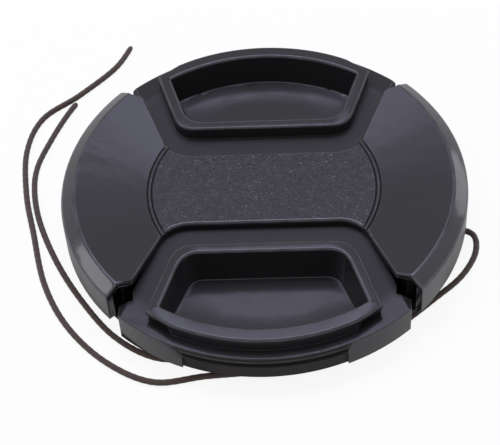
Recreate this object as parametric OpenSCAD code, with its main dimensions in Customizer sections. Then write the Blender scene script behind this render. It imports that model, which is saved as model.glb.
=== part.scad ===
// Centre-pinch camera lens cap with two sprung levers and a thin loose cord.
// The cap lies on its rear cover with its front face up. The levers slide along Y.

/* [Rim] */
// Outer radius of the plain skirt
rim_r = 30.4; // [29:0.1:36]
// Wall of the skirt
rim_wall = 1.15; // [0.9:0.05:1.5]
// Straight height of the skirt
skirt_h = 5.2; // [4.6:0.1:7]
// Width of the bevel at the front edge, seen from the front
bevel_w = 2.1; // [1.5:0.1:3]
// Height of the bevel
bevel_h = 1.25; // [0.8:0.05:2]

/* [Face] */
// Thickness of the front face
face_t = 1.2; // [0.9:0.05:1.6]
// Fall of the dished wings from the bevel to the ring round the panel
dish_h = 1.6; // [1:0.1:2]
// Radius of the grained centre panel
panel_r = 16.65; // [15.5:0.05:17]
// Half width of the panel between its two straight edges
panel_edge_y = 6.9; // [6:0.1:7.5]
// Width of each of the two grooves round the panel
groove_w = 0.35; // [0.2:0.05:0.4]
// Width of the ridge between the grooves
ridge_w = 0.3; // [0.2:0.05:0.5]
// Depth of the grooves
groove_d = 0.3; // [0.1:0.05:0.5]

/* [Levers] */
// Inward travel of each lever
lever_travel = 2.3; // [1.5:0.1:2.5]
// Thickness of the sliding plate
plate_t = 1.2; // [0.9:0.05:1.5]
// Distance of the plate's inner edge from the middle of the cap
plate_edge_y = 5; // [4:0.1:6]
// How far the lever wall stands out past the skirt at rest
lever_proud = 0.3; // [0.1:0.05:0.6]
// Thickness of the lever wall
lever_wall = 1.3; // [1:0.05:1.6]
// How far the lever wall reaches behind the skirt
lever_drop = 1.3; // [0.5:0.1:2]
// Half width of the ribbed length of the lever wall
thread_half_w = 11.7; // [8:0.1:14]
// Radius of the crests of the catch ribs, for a 62 mm filter thread
thread_crest_r = 31; // [30.9:0.05:31.5]
// Distance between the catch ribs
thread_pitch = 1.15; // [1:0.05:1.3]
// Depth of the ribbed length below the plain wall
thread_relief = 0.35; // [0.1:0.05:0.5]

/* [Finger wells] */
// Rise of the lip above the sliding plate
lip_h = 2.2; // [1.6:0.1:3]
// Distance of the lip's straight inner edge from the middle of the cap
lip_edge_y = 11.4; // [11.2:0.1:12]
// Width of the lip along its straight inner edge
lip_w = 1.6; // [1.2:0.05:2]
// Width of the ledge between the skirt's radius and the lip
lip_ledge = 1.3; // [1.1:0.05:1.6]
// Width of the lip over the outer wall
lip_front_w = 2.1; // [1.7:0.05:2.4]
// Inward lean of the well's walls from mouth to floor
well_draft = 1.1; // [0.6:0.1:1.3]
// Thickness of the well's floor and of its walls behind the plate
well_t = 1; // [0.8:0.05:1.1]
// Height of the two notches under the ends of the lip
notch_h = 1.3; // [0.8:0.1:1.6]

/* [Springs] */
// Outer diameter of the compression springs
spring_d = 2.5; // [2:0.1:2.6]
// Diameter of the spring wire
wire_d = 0.35; // [0.25:0.05:0.4]
// Number of turns of each spring
spring_turns = 8; // [6:1:10]
// Distance of the springs from the middle of the cap
spring_x = 7; // [5:0.1:8]
// Length of the spigots that the springs sit on
spigot_l = 1.6; // [1:0.1:2.5]

/* [Rear cover] */
// Distance of the rear cover's edge from the outside of the skirt
cover_inset = 3.8; // [3.6:0.05:4.2]
// Thickness of the rear cover
cover_t = 1.2; // [0.9:0.05:1.5]
// Height of the foot ring on the rear cover
foot_h = 0.4; // [0.3:0.05:0.6]
// Width of the foot ring
foot_w = 1.6; // [1:0.1:2]
// Thickness of the centre rib and of the guide rails
rail_t = 1; // [0.8:0.05:1.2]
// Radius of the four staked posts
post_r = 1.1; // [0.8:0.05:1.3]

/* [Cord] */
// Diameter of the cord
cord_d = 0.9; // [0.7:0.05:0.95]

/* [Hidden] */
$fn = 96;

// Clearances and the overrun of every cut
slide_gap = 0.15;
seat_gap = 0.05;
stop_gap = 0.1;
side_gap = 0.25;
under_gap = 0.5;
cord_room = 0.3;
over = 1;

// Heights above the surface that the cap lies on
lever_z = cord_d + cord_room;
skirt_z = lever_z + lever_drop;
break_z = skirt_z + skirt_h;
edge_z = break_z + bevel_h;
ring_z = edge_z - dish_h;
face_under_z = ring_z - face_t;
plate_top_z = face_under_z - slide_gap;
plate_z = plate_top_z - plate_t;
lip_z = plate_top_z + lip_h;
cover_top_z = foot_h + cover_t;
well_under_z = cover_top_z + under_gap;
well_floor_z = well_under_z + well_t;
spring_z = (cover_top_z + plate_z) / 2;

// Radii of the shell
edge_r = rim_r - bevel_w;
ring_r = panel_r + 2 * groove_w + ridge_w;
skirt_in_r = rim_r - rim_wall;
lever_r = rim_r + lever_proud;
lip_r = rim_r - lip_ledge;
mouth_r = lip_r - lip_front_w;
cover_r = rim_r - cover_inset;
reach = 2 * rim_r;

// Places of the window's corners: angles from +X, and radii as shares of the rim radius
panel_corner_angle = 30.2;
ring_corner_angle = 31.4;
tip_angle = 44.2;
tip_share = 0.863;
rim_cut_angle = 42.4;
panel_straight_share = 0.655;
panel_bend_share = 0.78;

// Corners of the sliding plate, as angles and shares of the rim radius. The arms run on under
// the wings, and the face slopes down outside the ridge of each horn
arm_in_angle = 30;
arm_in_share = 0.6;
arm_tuck_angle = 0.4;
arm_out_angle = 46.35;
arm_out_share = 0.897;
horn_angle = 47.2;
horn_x = lever_r * cos(horn_angle);
horn_root_share = 0.671;
ridge_start_angle = 45.8;
ridge_start_share = 0.9126;
ridge_angle = 68.8;
facet_tilt = 28;
facet_share = 0.2;
plate_round_share = 0.07;

// Corners of the finger well
lip_corner_angle = 54.2;
lip_corner_share = 0.985;
lip_flat_angle = 63;
notch_end_angle = 63.4;
notch_root_angle = 60.6;
lip_corner_x_share = 0.428;
mouth_corner_angle = 56.9;
mouth_corner_x_share = 0.385;
lip_round_share = 0.095;
mouth_round_share = 0.08;
floor_round_share = 0.06;
corner_steps = 6;
arc_steps = 24;

// End of the inner ring on each side, short of the arms, and of the wide sides of the cover
inner_ring_angle = 39;
cover_side_y = horn_root_share * rim_r - lever_travel - stop_gap;
cover_side_z = cord_d + 2 * stop_gap;

// Springs, their seats and the guides
spring_seat_y = lip_edge_y - side_gap;
seat_half_w = spring_d / 2 + rail_t / 2;
spigot_r = spring_d / 2 - wire_d - side_gap;
rib_half_t = rail_t / 2 + stop_gap;
rib_half_l = spring_x + seat_half_w + side_gap;
runner_x = mouth_r * cos(mouth_corner_angle) + well_t - side_gap + seat_gap;
runner_t = rail_t;
runner_end_y = sqrt(pow(cover_r - side_gap, 2) - pow(runner_x + runner_t, 2)) - rail_t - stop_gap;
runner_share = 0.31;
runner_l = runner_share * runner_end_y;
runner_start_y = runner_end_y - runner_l;
rail_x = runner_x + runner_t + slide_gap;
rail_top_z = plate_z - side_gap;
runner_z = cover_top_z + side_gap;

// Staked posts and the counterbores for their heads
post_share = 0.82;
post_angle = 22;
stake_r = post_r + rim_wall / 2;
stake_h = cover_t / 2 - seat_gap;

// One bend of an outline: a curve from start to end that leans towards the corner
function bend(start, corner, end, steps) =
    [for (i = [0:steps]) let (t = i / steps)
        (1 - t) * (1 - t) * start + 2 * t * (1 - t) * corner + t * t * end];
function polar(r, angle) = r * [cos(angle), sin(angle)];
function mirrored(points) = [for (i = [len(points) - 1:-1:0]) [-points[i][0], points[i][1]]];
function arc(r, from, to, steps) = [for (i = [0:steps]) polar(r, from + (to - from) * i / steps)];
function unit(v) = v / norm(v);

// Opening of the face for one lever, open towards the rim
function window_half() = concat(
    bend([panel_straight_share * panel_r, panel_edge_y], [panel_bend_share * panel_r, panel_edge_y],
        polar(panel_r, panel_corner_angle), corner_steps),
    [polar(ring_r, ring_corner_angle), polar(tip_share * rim_r, tip_angle),
        polar(edge_r - groove_d, rim_cut_angle), polar(reach, rim_cut_angle)]);
module window() {
    polygon(concat(window_half(), mirrored(window_half())));
}

// Outline of a finger well at one height: a straight inner edge, leaning sides and an outer arc
function well_half(edge_y, corner_x, rounding, arc_r, outer_r, outer_angle, flat_angle) =
    let (inner = [corner_x, edge_y], outer = polar(outer_r, outer_angle))
    concat(
        bend([corner_x - rounding, edge_y], inner, inner + rounding * unit(outer - inner), corner_steps),
        [outer],
        arc(arc_r, flat_angle, 90, arc_steps / 2));
module well_outline(edge_y, corner_x, rounding, arc_r, outer_r, outer_angle, flat_angle) {
    half = well_half(edge_y, corner_x, rounding, arc_r, outer_r, outer_angle, flat_angle);
    polygon(concat(half, mirrored(half)));
}
module lip_outline() {
    well_outline(lip_edge_y, lip_corner_x_share * rim_r, lip_round_share * rim_r, lip_r,
        lip_corner_share * lip_r, lip_corner_angle, lip_flat_angle);
}
// Mouth of the well, drawn in by a lean and out by a wall
module mouth_outline(lean, wall) {
    grow = wall - lean;
    well_outline(lip_edge_y + lip_w - grow, mouth_corner_x_share * rim_r + grow,
        (mouth_round_share - lean / well_draft * (mouth_round_share - floor_round_share)) * rim_r,
        mouth_r + grow, mouth_r + grow, mouth_corner_angle + lean, mouth_corner_angle + lean);
}

// Outline of the sliding plate, with an arm and a horn on each side of the well
function plate_half() = concat(
    bend(polar(arm_in_share * rim_r, arm_in_angle) - [plate_round_share * rim_r, 0]
        - [0, arm_in_share * rim_r * sin(arm_in_angle) - plate_edge_y],
        [arm_in_share * rim_r * cos(arm_in_angle), plate_edge_y],
        polar(arm_in_share * rim_r, arm_in_angle), corner_steps),
    [polar(tip_share * rim_r, tip_angle - arm_tuck_angle), polar(arm_out_share * rim_r, arm_out_angle),
        [horn_x, horn_root_share * rim_r], [horn_x, reach]]);
module plate_outline() {
    intersection() {
        circle(r = lever_r);
        polygon(concat(plate_half(), mirrored(plate_half())));
    }
}

// A slice of the plane between two angles, to keep a stretch of a ring
module sector(from, to) {
    polygon(concat([[0, 0]], arc(reach, from, to, corner_steps)));
}
module ring_wall(r_out, r_in, z_from, z_to) {
    translate([0, 0, z_from]) difference() {
        cylinder(r = r_out, h = z_to - z_from);
        translate([0, 0, -over]) cylinder(r = r_in, h = z_to - z_from + 2 * over);
    }
}
module four_posts() {
    for (x = [-1, 1], y = [-1, 1]) {
        translate([x * post_share * cover_r * cos(post_angle), y * post_share * cover_r * sin(post_angle), 0])
            children();
    }
}

// Section of the shell: panel, two grooves, dished wing, bevel and skirt
module shell_section() {
    polygon([
        [0, face_under_z], [0, ring_z], [panel_r, ring_z],
        [panel_r + groove_w / 2, ring_z - groove_d], [panel_r + groove_w, ring_z],
        [panel_r + groove_w + ridge_w, ring_z],
        [panel_r + 3 / 2 * groove_w + ridge_w, ring_z - groove_d], [ring_r, ring_z],
        [edge_r, edge_z], [rim_r, break_z], [rim_r, skirt_z], [skirt_in_r, skirt_z],
        [skirt_in_r, break_z - rim_wall / 2], [edge_r - groove_d, edge_z - face_t], [ring_r, face_under_z]]);
}
module front_shell() {
    color("#1c1c22") {
        difference() {
            union() {
                rotate_extrude() shell_section();
                inner_ring();
            }
            for (turn = [0, 180]) {
                rotate([0, 0, turn]) translate([0, 0, -over]) linear_extrude(edge_z + 2 * over) window();
            }
        }
        four_posts() {
            stake_z = foot_h + seat_gap;
            translate([0, 0, stake_z]) cylinder(r = stake_r, h = stake_h, $fn = 32);
            translate([0, 0, stake_z]) cylinder(r = post_r, h = ring_z - stake_z, $fn = 32);
        }
    }
}
// The ring that rests on the rear cover, left open where the arms of the levers pass
module inner_ring() {
    intersection() {
        ring_wall(cover_r, cover_r - rim_wall, cover_top_z, edge_z - face_t);
        linear_extrude(edge_z) {
            sector(-inner_ring_angle, inner_ring_angle);
            sector(180 - inner_ring_angle, 180 + inner_ring_angle);
        }
    }
}

// The cover fills the skirt at both sides, above the cord, and leaves room for the outer walls
module cover_sides() {
    intersection() {
        circle(r = skirt_in_r - slide_gap);
        square([2 * reach, 2 * cover_side_y], center = true);
    }
}
module rear_cover() {
    color("#191a1e") {
        difference() {
            union() {
                translate([0, 0, foot_h]) cylinder(r = cover_r, h = cover_t);
                translate([0, 0, cover_side_z]) linear_extrude(cover_top_z - cover_side_z) cover_sides();
                ring_wall(cover_r - groove_d, cover_r - groove_d - foot_w, 0, foot_h + cover_t / 2);
            }
            four_posts() {
                translate([0, 0, -over]) cylinder(r = post_r + seat_gap, h = cover_top_z + 2 * over, $fn = 32);
                translate([0, 0, -over]) cylinder(r = stake_r + seat_gap, h = over + foot_h + cover_t / 2, $fn = 32);
            }
        }
        centre_rib();
        for (x = [-1, 1], y = [-1, 1]) {
            scale([x, y, 1]) guide();
        }
    }
}
// The rib across the middle carries a spigot for each spring
module centre_rib() {
    translate([-rib_half_l, -rib_half_t, cover_top_z])
        cube([2 * rib_half_l, 2 * rib_half_t, spring_z + spring_d / 2 - cover_top_z]);
    for (x = [-spring_x, spring_x]) {
        translate([x, -rib_half_t - spigot_l, spring_z]) rotate([-90, 0, 0])
            cylinder(r = spigot_r, h = 2 * (rib_half_t + spigot_l), $fn = 24);
    }
}
// A rail beside each runner, with a stop at both ends of its travel
module guide() {
    stop_in_y = runner_start_y - lever_travel - stop_gap - rail_t;
    stop_out_y = runner_end_y + stop_gap;
    translate([rail_x, stop_in_y, cover_top_z])
        cube([rail_t, runner_end_y - stop_in_y - rail_t / 2, rail_top_z - cover_top_z]);
    for (y = [stop_in_y, stop_out_y]) {
        translate([runner_x, y, cover_top_z])
            cube([runner_t + (y == stop_in_y ? slide_gap : 0), rail_t, rail_top_z - cover_top_z]);
    }
}

// One lever, drawn at +Y: plate with horns, finger well, catch wall, runners and spring seats
module lever() {
    difference() {
        union() {
            translate([0, 0, plate_z]) linear_extrude(plate_t) plate_outline();
            translate([0, 0, plate_z]) linear_extrude(lip_z - plate_z) lip_outline();
            well_bowl();
            catch_wall();
            runners();
            spring_seats();
        }
        well_hollow();
        notches();
        horn_facets();
    }
    catch_ribs();
}
module well_bowl() {
    hull() {
        translate([0, 0, well_under_z]) linear_extrude(seat_gap) mouth_outline(well_draft, well_t);
        translate([0, 0, plate_z]) linear_extrude(seat_gap) mouth_outline(well_draft / 2, well_t);
    }
}
module well_hollow() {
    hull() {
        translate([0, 0, well_floor_z]) linear_extrude(seat_gap) mouth_outline(well_draft, 0);
        translate([0, 0, lip_z]) linear_extrude(seat_gap) mouth_outline(0, 0);
    }
    translate([0, 0, lip_z]) linear_extrude(over) mouth_outline(0, 0);
}
module catch_wall() {
    difference() {
        intersection() {
            ring_wall(lever_r, lever_r - lever_wall, lever_z, plate_z + plate_t / 2);
            translate([seat_gap - horn_x, 0, 0]) cube([2 * (horn_x - seat_gap), reach, plate_top_z]);
        }
        intersection() {
            ring_wall(lever_r + over, lever_r - thread_relief, lever_z - over, plate_top_z + over);
            thread_block();
        }
    }
}
module thread_block() {
    translate([-thread_half_w, 0, 0]) cube([2 * thread_half_w, reach, plate_top_z + over]);
}
// Two catch ribs with sloping sides, on the ribbed length only
module catch_ribs() {
    root_r = lever_r - thread_relief - seat_gap;
    rib_h = thread_pitch / 2;
    crest_share = 0.75;
    intersection() {
        union() {
            for (i = [0:1]) {
                translate([0, 0, plate_top_z - thread_relief - rib_h - i * thread_pitch]) rotate_extrude() polygon([
                    [root_r - lever_wall / 2, 0], [root_r, 0], [thread_crest_r, rib_h / 2],
                    [thread_crest_r, crest_share * rib_h], [root_r, rib_h], [root_r - lever_wall / 2, rib_h]]);
            }
        }
        thread_block();
    }
}
module notches() {
    translate([0, 0, plate_top_z]) linear_extrude(notch_h) difference() {
        sector(horn_angle, 180 - horn_angle);
        circle(r = mouth_r + well_t);
        translate([-reach, 0]) square([2 * reach, lip_edge_y]);
        polygon(concat(notch_side(), mirrored(notch_side())));
    }
}
// Slanting side of the stretch between the notches
function notch_side() = [[0, 0], polar(mouth_r + well_t - over, notch_root_angle),
    polar(mouth_r + well_t, notch_root_angle), polar(lip_r, notch_end_angle), polar(reach, notch_end_angle)];
// Slopes on the tops of the horns, outside a ridge from the arm's corner to the outer wall
module horn_facets() {
    for (side = [0, 1]) {
        mirror([side, 0, 0]) translate([ridge_start_share * rim_r * cos(ridge_start_angle),
            ridge_start_share * rim_r * sin(ridge_start_angle), plate_top_z])
            rotate([0, 0, ridge_angle]) rotate([facet_tilt, 0, 0]) translate([-over, -facet_share * rim_r, 0])
            cube([facet_share * rim_r, facet_share * rim_r, plate_t]);
    }
}
module runners() {
    for (side = [-1, 1]) {
        scale([side, 1, 1]) translate([runner_x, runner_start_y, runner_z])
            cube([runner_t, runner_l, plate_z + plate_t / 2 - runner_z]);
    }
}
module spring_seats() {
    for (x = [-spring_x, spring_x]) {
        translate([x - seat_half_w, spring_seat_y, well_under_z])
            cube([2 * seat_half_w, lip_w + well_draft + well_t, plate_z + plate_t / 2 - well_under_z]);
        translate([x, spring_seat_y - spigot_l, spring_z]) rotate([-90, 0, 0])
            cylinder(r = spigot_r, h = spigot_l + well_t, $fn = 24);
    }
}

module lever_far() {
    color("#1d1d23") lever();
}
module lever_near() {
    color("#1d1d23") rotate([0, 0, 180]) lever();
}

// A swept tube: rings of points round a path, closed at both ends. Each ring lies between its
// own side direction and the direction square to it and to the path
function ring_points(centre, ahead, side_v, r, sides) =
    let (up_v = cross(side_v, ahead))
    [for (k = [0:sides - 1]) let (a = 360 * (k + 0.5) / sides) centre + r * (cos(a) * side_v + sin(a) * up_v)];
module tube(path, side_vs, r, sides) {
    n = len(path);
    rings = [for (i = [0:n - 1])
        each ring_points(path[i], unit(path[min(i + 1, n - 1)] - path[max(i - 1, 0)]), side_vs[i], r, sides)];
    walls = [for (i = [0:n - 2], k = [0:sides - 1]) let (a = i * sides + k, b = i * sides + (k + 1) % sides)
        each [[a, b, b + sides], [a, b + sides, a + sides]]];
    ends = [[for (k = [sides - 1:-1:0]) k], [for (k = [0:sides - 1]) (n - 1) * sides + k]];
    polyhedron(points = rings, faces = concat(walls, ends));
}

// Compression spring along Y with one closed turn at each end
wire_steps = 12;
wire_sides = 6;
close_share = 1.15;
function spring_along(turn, length) =
    let (closed = close_share * wire_d, pitch = (length - wire_d - 2 * closed) / (spring_turns - 2))
    turn < 1 ? turn * closed
    : turn > spring_turns - 1 ? length - wire_d - (spring_turns - turn) * closed
    : closed + (turn - 1) * pitch;
module spring(x, side) {
    length = spring_seat_y - rib_half_t - 2 * seat_gap;
    coil_r = (spring_d - wire_d) / 2;
    turns = [for (i = [0:spring_turns * wire_steps]) i / wire_steps];
    outward = [for (turn = turns) [side * cos(360 * turn), 0, sin(360 * turn)]];
    path = [for (i = [0:len(turns) - 1])
        [x, side * (rib_half_t + seat_gap + wire_d / 2 + spring_along(turns[i], length)), spring_z]
            + coil_r * outward[i]];
    color("#b9bcc2") tube(path, outward, wire_d / 2, wire_sides);
}
module spring_near_left() {
    spring(-spring_x, -1);
}
module spring_near_right() {
    spring(spring_x, -1);
}
module spring_far_left() {
    spring(-spring_x, 1);
}
module spring_far_right() {
    spring(spring_x, 1);
}

// Route of the cord over the surface, from the long free end, under the near lever, round a
// bight at the right and back to the short free end
cord_route = [
    [-22.5, 38], [-25, 33], [-30.5, 27], [-36, 22], [-38, 15], [-37.3, 6], [-35.5, -2],
    [-33, -12], [-29, -20], [-23, -26.5], [-16, -30.2], [-8.5, -29.4], [0, -28.7], [10, -26.9],
    [18.5, -21.8], [25, -16.3], [28.6, -12.9], [30.8, -9.4], [31.5, -6.6], [31.1, -4.7],
    [29.6, -3.9], [27.9, -4.6], [27.1, -6.4], [26.2, -9.6], [24, -13], [18, -20.7], [9, -25.9],
    [0, -27.4], [-9, -26.5], [-16, -25.9], [-22, -22], [-27, -15.6], [-31.2, -8.4], [-34.5, -0.5],
    [-36, 6], [-36, 11.5], [-34.2, 17.5], [-32.2, 22.5], [-30.8, 25.2]];
cord_steps = 2;
cord_sides = 8;
cord_lift = 0.02;
// A smooth curve through four neighbouring points of the route
function between(a, b, c, d, t) =
    0.5 * (2 * b + (c - a) * t + (2 * a - 5 * b + 4 * c - d) * t * t + (3 * b - a - 3 * c + d) * t * t * t);
module cord() {
    last = len(cord_route) - 1;
    flat_path = [for (i = [0:last - 1], s = [0:cord_steps - 1])
        between(cord_route[max(i - 1, 0)], cord_route[i], cord_route[i + 1],
            cord_route[min(i + 2, last)], s / cord_steps)];
    path = [for (p = concat(flat_path, [cord_route[last]])) [p[0], p[1], cord_d / 2 + cord_lift]];
    level = [for (i = [0:len(path) - 1])
        let (ahead = path[min(i + 1, len(path) - 1)] - path[max(i - 1, 0)]) unit(cross(ahead, [0, 0, 1]))];
    color("#2b2220") tube(path, level, cord_d / 2, cord_sides);
}

front_shell();
rear_cover();
lever_near();
lever_far();
spring_near_left();
spring_near_right();
spring_far_left();
spring_far_right();
cord();
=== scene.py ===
# %% [markdown]
# # A camera lens cap with two pinch levers
# The cap lies on its back, face up, on a thin loose cord. Two levers are squeezed towards the
# middle to let go of the filter thread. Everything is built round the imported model, which gives
# the sizes and what moves with what, so it is loaded first. Lengths are in metres, and MM turns
# the millimetres of a drawing into them.

# %% Load the frame
import bpy
import bmesh
import math
from mathutils import Matrix, Vector


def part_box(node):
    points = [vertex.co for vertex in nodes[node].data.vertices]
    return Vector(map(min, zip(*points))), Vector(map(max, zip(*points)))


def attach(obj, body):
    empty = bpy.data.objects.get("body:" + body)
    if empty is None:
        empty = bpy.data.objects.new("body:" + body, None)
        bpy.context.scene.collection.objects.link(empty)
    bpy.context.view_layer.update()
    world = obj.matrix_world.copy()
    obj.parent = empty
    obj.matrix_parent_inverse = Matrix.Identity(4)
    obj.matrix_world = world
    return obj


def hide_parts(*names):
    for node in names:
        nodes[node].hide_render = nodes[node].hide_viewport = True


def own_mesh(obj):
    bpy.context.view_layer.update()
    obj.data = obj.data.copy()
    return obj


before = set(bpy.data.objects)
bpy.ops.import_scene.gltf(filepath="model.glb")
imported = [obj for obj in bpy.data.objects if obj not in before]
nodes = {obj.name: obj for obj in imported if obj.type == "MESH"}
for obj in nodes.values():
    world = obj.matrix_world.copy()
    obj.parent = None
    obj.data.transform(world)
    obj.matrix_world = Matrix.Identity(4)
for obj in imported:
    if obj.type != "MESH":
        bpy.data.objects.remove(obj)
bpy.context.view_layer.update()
MM = 0.001
WELD = 0.0005 * MM
print("nodes:", ", ".join(sorted(nodes)))

# %% [markdown]
# ## Tools for node trees
# Materials and Geometry Nodes are both trees of nodes. They could be written out node by node, but
# a few small helpers keep the cells short: they add a node, join two sockets, do one step of
# arithmetic, start a group with named sockets, and run a Geometry Nodes group to a plain mesh.

# %% Helpers for node trees
def add_node(tree, kind, **settings):
    node = tree.nodes.new(kind)
    for name, value in settings.items():
        setattr(node, name, value)
    return node


def feed(tree, socket, value):
    """Joins an output to a socket, or sets the socket's own value."""
    if hasattr(value, "links"):
        tree.links.new(value, socket)
    elif value is not None:
        socket.default_value = value


def calc(tree, operation, *values, kind="ShaderNodeMath"):
    """One step of arithmetic on sockets or numbers."""
    node = add_node(tree, kind, operation=operation)
    for socket, value in zip(node.inputs, values):
        feed(tree, socket, value)
    return node.outputs[0]


def start_group(name, kind, inputs, outputs):
    """A node group with named sockets, given as (name, type, value) and (name, type)."""
    group = bpy.data.node_groups.new(name, kind)
    for label, socket_type, value in inputs:
        socket = group.interface.new_socket(name=label, in_out="INPUT", socket_type=socket_type)
        if value is not None:
            socket.default_value = value
    for label, socket_type in outputs:
        group.interface.new_socket(name=label, in_out="OUTPUT", socket_type=socket_type)
    given = group.nodes.new("NodeGroupInput").outputs
    return group, given, group.nodes.new("NodeGroupOutput").inputs


def apply_nodes(name, group, values, line=()):
    """Runs a Geometry Nodes group on a line of points and keeps the result as a plain mesh."""
    start = bpy.data.meshes.new(name + "_raw")
    start.from_pydata(line, [(i, i + 1) for i in range(len(line) - 1)], [])
    shell = bpy.data.objects.new(name + "_raw", start)
    bpy.context.scene.collection.objects.link(shell)
    modifier = shell.modifiers.new("nodes", "NODES")
    modifier.node_group = group
    sockets = {s.name: s.identifier for s in group.interface.items_tree
               if s.item_type == "SOCKET" and s.in_out == "INPUT"}
    for label, value in values.items():
        modifier[sockets[label]] = value
    evaluated = shell.evaluated_get(bpy.context.evaluated_depsgraph_get())
    mesh = bpy.data.meshes.new_from_object(evaluated)
    mesh.name = name
    bpy.data.objects.remove(shell)
    piece = bpy.data.objects.new(name, mesh)
    bpy.context.scene.collection.objects.link(piece)
    return piece


def end_group(group, geometry, material, result):
    """Makes the geometry real, gives it its material and hands it out."""
    real = add_node(group, "GeometryNodeRealizeInstances")
    feed(group, real.inputs["Geometry"], geometry)
    finish = add_node(group, "GeometryNodeSetMaterial")
    feed(group, finish.inputs["Geometry"], real.outputs["Geometry"])
    feed(group, finish.inputs["Material"], material)
    feed(group, result, finish.outputs["Geometry"])


def smooth_outward(mesh):
    """Shades a closed mesh smooth and turns every face of it outwards."""
    mesh.polygons.foreach_set("use_smooth", [True] * len(mesh.polygons))
    bm = bmesh.new()
    bm.from_mesh(mesh)
    bmesh.ops.remove_doubles(bm, verts=bm.verts, dist=WELD)
    bmesh.ops.recalc_face_normals(bm, faces=bm.faces)
    bm.to_mesh(mesh)
    bm.free()


print("helpers ready")

# %% [markdown]
# ## What every material starts from
# Every piece is either moulded plastic, woven fibre or drawn wire, so each material is one
# Principled shader with its own numbers. Place, noise and bump come up in all of them, and a
# short function for each keeps the materials below readable.

# %% Helpers for materials
def use_group(tree, group, **values):
    """Places a shader group in a material with that material's own values."""
    node = add_node(tree, "ShaderNodeGroup", node_tree=group)
    for label, value in values.items():
        feed(tree, node.inputs[label.replace("_", " ")], value)
    return node


def mix_colour(tree, mask, first, second):
    """The first colour where the mask is 0 and the second where it is 1."""
    node = add_node(tree, "ShaderNodeMix", data_type="RGBA")
    feed(tree, node.inputs[0], mask)
    feed(tree, node.inputs[6], first)
    feed(tree, node.inputs[7], second)
    return node.outputs[2]


def spread(tree, value, low, high):
    """Turns 0 to 1 into low to high."""
    node = add_node(tree, "ShaderNodeMapRange")
    feed(tree, node.inputs["Value"], value)
    feed(tree, node.inputs["To Min"], low)
    feed(tree, node.inputs["To Max"], high)
    return node.outputs["Result"]


def bump(tree, height, distance, strength, under=None):
    """A normal from a height, on top of the normal under it."""
    node = add_node(tree, "ShaderNodeBump")
    feed(tree, node.inputs["Height"], height)
    feed(tree, node.inputs["Distance"], distance)
    feed(tree, node.inputs["Strength"], strength)
    feed(tree, node.inputs["Normal"], under)
    return node.outputs["Normal"]


def new_material(name, specular, tint=(1, 1, 1)):
    """A Principled material, with its tree, its shader and the place on the piece."""
    material = bpy.data.materials.new(name)
    material.use_nodes = True
    tree = material.node_tree
    shader = tree.nodes["Principled BSDF"]
    shader.inputs["Specular IOR Level"].default_value = specular
    shader.inputs["Specular Tint"].default_value = (*tint, 1)
    shader.inputs["IOR"].default_value = 1.5
    return material, tree, shader, add_node(tree, "ShaderNodeTexCoord").outputs["Object"]


print("material helpers ready")

# %% [markdown]
# ## Camera
# The photograph looks down on the cap at about fifty degrees with a long lens. A camera could be
# placed by eye, but here its place was worked out from the round rim and the straight edges of
# the panel, so that a render can be laid over the photograph.

# %% Camera
def add_camera(target, distance, elevation, azimuth, roll, lens):
    """A camera that looks at target from a distance, with its angles in degrees."""
    e, a, r = (math.radians(v) for v in (elevation, azimuth, roll))
    back = Vector((math.sin(a) * math.cos(e), -math.cos(a) * math.cos(e), math.sin(e)))
    level = Vector((math.cos(a), math.sin(a), 0))
    upright = back.cross(level)
    right = math.cos(r) * level + math.sin(r) * upright
    up = math.cos(r) * upright - math.sin(r) * level
    data = bpy.data.cameras.new("camera")
    data.sensor_width = 36
    data.lens = lens
    data.clip_start = 0.01
    data.clip_end = 10
    camera = bpy.data.objects.new("camera", data)
    bpy.context.scene.collection.objects.link(camera)
    turn = Matrix((right, up, back)).transposed().to_4x4()
    camera.matrix_world = Matrix.Translation(Vector(target) + distance * back) @ turn
    bpy.context.scene.camera = camera
    return camera


camera = add_camera(target=(-2.12 * MM, -5.37 * MM, 5.47 * MM), distance=249.6 * MM,
                    elevation=49.76, azimuth=3.52, roll=-4.28, lens=121.1)
print("camera at", [round(v / MM, 1) for v in camera.matrix_world.translation], "mm")

# %% [markdown]
# ## Cord
# A thin limp braided cord keeps the cap from being lost. Both of its ends are free here, so the
# photograph shows its whole length. It lies on the same surface as the cap, passes under the near
# lever, turns in a small bight at the right and comes back. A braid is a tube whose surface
# follows a rule, so Geometry Nodes sweep a ring along the route and lift it where a strand of
# the braid lies on top.

# %% Route of the cord
CORD_D, CORD_LIFT = 0.9, 0.02
CORD_Z = CORD_D / 2 + CORD_LIFT
ROUTE = [
    (-22.5, 38), (-25, 33), (-30.5, 27), (-36, 22), (-38, 15), (-37.3, 6), (-35.5, -2),
    (-33, -12), (-29, -20), (-23, -26.5), (-16, -30.2), (-8.5, -29.4), (0, -28.7), (10, -26.9),
    (18.5, -21.8), (25, -16.3), (28.6, -12.9), (30.8, -9.4), (31.5, -6.6), (31.1, -4.7),
    (29.6, -3.9), (27.9, -4.6), (27.1, -6.4), (26.2, -9.6), (24, -13), (18, -20.7), (9, -25.9),
    (0, -27.4), (-9, -26.5), (-16, -25.9), (-22, -22), (-27, -15.6), (-31.2, -8.4), (-34.5, -0.5),
    (-36, 6), (-36, 11.5), (-34.2, 17.5), (-32.2, 22.5), (-30.8, 25.2)]


def smooth_route(points, steps):
    """A smooth curve through the points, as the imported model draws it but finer."""
    route = []
    for i in range(len(points) - 1):
        a, b = Vector(points[max(i - 1, 0)]), Vector(points[i])
        c, d = Vector(points[i + 1]), Vector(points[min(i + 2, len(points) - 1)])
        for s in range(steps):
            t = s / steps
            route.append(0.5 * (2 * b + (c - a) * t + (2 * a - 5 * b + 4 * c - d) * t ** 2
                                + (3 * b - a - 3 * c + d) * t ** 3))
    route.append(Vector(points[-1]))
    return [Vector((p.x * MM, p.y * MM, CORD_Z * MM)) for p in route]


STEPS_BETWEEN = 12
cord_path = smooth_route(ROUTE, STEPS_BETWEEN)

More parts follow.
